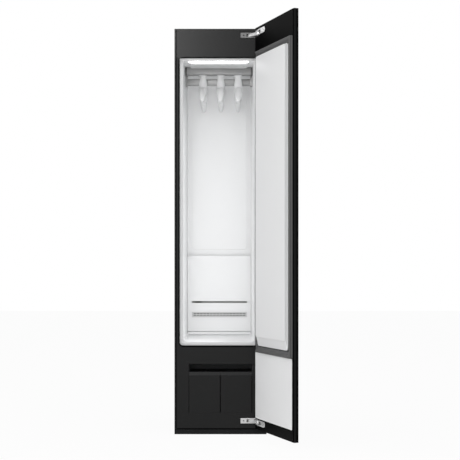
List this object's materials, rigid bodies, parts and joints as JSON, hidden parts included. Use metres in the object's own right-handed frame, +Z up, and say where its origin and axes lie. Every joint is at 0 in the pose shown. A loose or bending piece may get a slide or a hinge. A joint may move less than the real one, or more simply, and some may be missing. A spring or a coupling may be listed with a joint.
{
  "type": "clothes care steam cabinet",
  "caption": "Tall built-in steam cabinet for clothes with a full-height door on linked hinges, air hangers under a duct bar, and water tanks below.",
  "frame": {"origin": "middle of the plinth's foot flange, on the floor, 20 mm behind the cabinet's front plane", "axes": "+X to the right seen from the front, +Y into the cabinet, +Z up"},
  "size_m": [0.5725, 1.009, 1.96],
  "materials": {
    "black_steel": "satin black coat",
    "black_plastic": "fine matt",
    "zinc_steel": "galvanised",
    "foot_rubber": "matt",
    "white_plastic": "soft gloss",
    "grey_plastic": "matt",
    "lamp_white": "opal",
    "bar_grey": "brushed",
    "hanger_white": "soft gloss",
    "smoked_plastic": "smoked",
    "boiler_aluminium": "cast",
    "board_green": "solder mask",
    "hinge_chrome": "plated",
    "pin_steel": "ground",
    "seal_rubber": "matt"
  },
  "bodies": {
    "cabinet": {"side_panel_left": "black_steel", "side_panel_right": "black_steel", "top_panel": "black_steel", "back_panel": "zinc_steel", "base_tray": "zinc_steel", "plinth": "black_plastic", "front_frame": "black_plastic", "head_fascia": "black_plastic", "foot_front_left": "foot_rubber", "foot_front_right": "foot_rubber", "foot_rear_left": "foot_rubber", "foot_rear_right": "foot_rubber", "cavity_liner": "white_plastic", "cavity_back": "white_plastic", "lower_back_cover": "white_plastic", "steam_outlet": "grey_plastic", "lamp_lens": "lamp_white", "ceiling_cover": "white_plastic", "duct_bar": "bar_grey", "hanger_rail": "bar_grey", "rail_bracket_left": "bar_grey", "rail_bracket_right": "bar_grey", "tank_bay": "black_plastic", "compressor": "black_steel", "steam_generator": "boiler_aluminium", "heat_exchanger": "boiler_aluminium", "fan_housing": "grey_plastic", "fan_motor": "zinc_steel", "air_riser": "grey_plastic", "water_pump": "black_plastic", "control_box": "black_plastic", "control_board": "board_green", "power_inlet": "black_plastic", "hinge_base_lower": "hinge_chrome", "hinge_base_upper": "hinge_chrome"},
    "lower_link": {"hinge_link_lower": "hinge_chrome", "cabinet_pin_lower": "pin_steel", "door_pin_lower": "pin_steel"},
    "upper_link": {"hinge_link_upper": "hinge_chrome", "cabinet_pin_upper": "pin_steel", "door_pin_upper": "pin_steel"},
    "door": {"door_skin": "black_steel", "door_frame": "black_plastic", "door_gasket": "seal_rubber", "door_upper_lining": "white_plastic", "door_lower_lining": "white_plastic", "hinge_plate_lower": "hinge_chrome", "hinge_plate_upper": "hinge_chrome"},
    "supply_tank": {"supply_tank": "smoked_plastic", "supply_tank_lid": "black_plastic"},
    "drain_tank": {"drain_tank": "smoked_plastic", "drain_tank_lid": "black_plastic"},
    "lint_filter": {"lint_filter": "grey_plastic"},
    "left_hanger": {"air_hanger_left": "hanger_white"},
    "middle_hanger": {"air_hanger_middle": "hanger_white"},
    "right_hanger": {"air_hanger_right": "hanger_white"},
    "fan_wheel": {"fan_wheel": "black_plastic"}
  },
  "joints": [
    {"name": "door_turn", "type": "hinge", "parent": "lower_link", "child": "door", "pos_m": [0.18204, -0.06333, 0.065], "axis": [0, 0, 1], "range_deg": [-137.3, 5.2]},
    {"name": "lower_link_turn", "type": "hinge", "parent": "cabinet", "child": "lower_link", "pos_m": [0.1387, -0.0041, 0.065], "axis": [0, 0, 1], "range_deg": [-1.05, 26.35]},
    {"name": "upper_link_turn", "type": "hinge", "parent": "cabinet", "child": "upper_link", "pos_m": [0.1387, -0.0041, 1.929], "axis": [0, 0, 1], "range_deg": [-1.05, 26.35]},
    {"name": "supply_tank_slide", "type": "slide", "parent": "cabinet", "child": "supply_tank", "axis": [0, -1, 0], "range_m": [0, 0.24]},
    {"name": "drain_tank_slide", "type": "slide", "parent": "cabinet", "child": "drain_tank", "axis": [0, -1, 0], "range_m": [0, 0.24]},
    {"name": "lint_filter_slide", "type": "slide", "parent": "cabinet", "child": "lint_filter", "axis": [0, -1, 0], "range_m": [0, 0.06]},
    {"name": "left_hanger_swing", "type": "hinge", "parent": "cabinet", "child": "left_hanger", "pos_m": [-0.089, 0.192, 1.78043], "axis": [1, 0, 0], "range_deg": [-5, 5]},
    {"name": "middle_hanger_swing", "type": "hinge", "parent": "cabinet", "child": "middle_hanger", "pos_m": [-0.001, 0.192, 1.78043], "axis": [1, 0, 0], "range_deg": [-5, 5]},
    {"name": "right_hanger_swing", "type": "hinge", "parent": "cabinet", "child": "right_hanger", "pos_m": [0.087, 0.192, 1.78043], "axis": [1, 0, 0], "range_deg": [-5, 5]},
    {"name": "fan_spin", "type": "hinge", "parent": "cabinet", "child": "fan_wheel", "pos_m": [-0.11, 0.44, 0.1428], "axis": [0, 1, 0], "continuous": true}
  ],
  "couplings": [
    {"joint": "lower_link_turn", "follows": "door_turn", "ratio": -0.19155},
    {"joint": "upper_link_turn", "follows": "door_turn", "ratio": -0.19155}
  ]
}
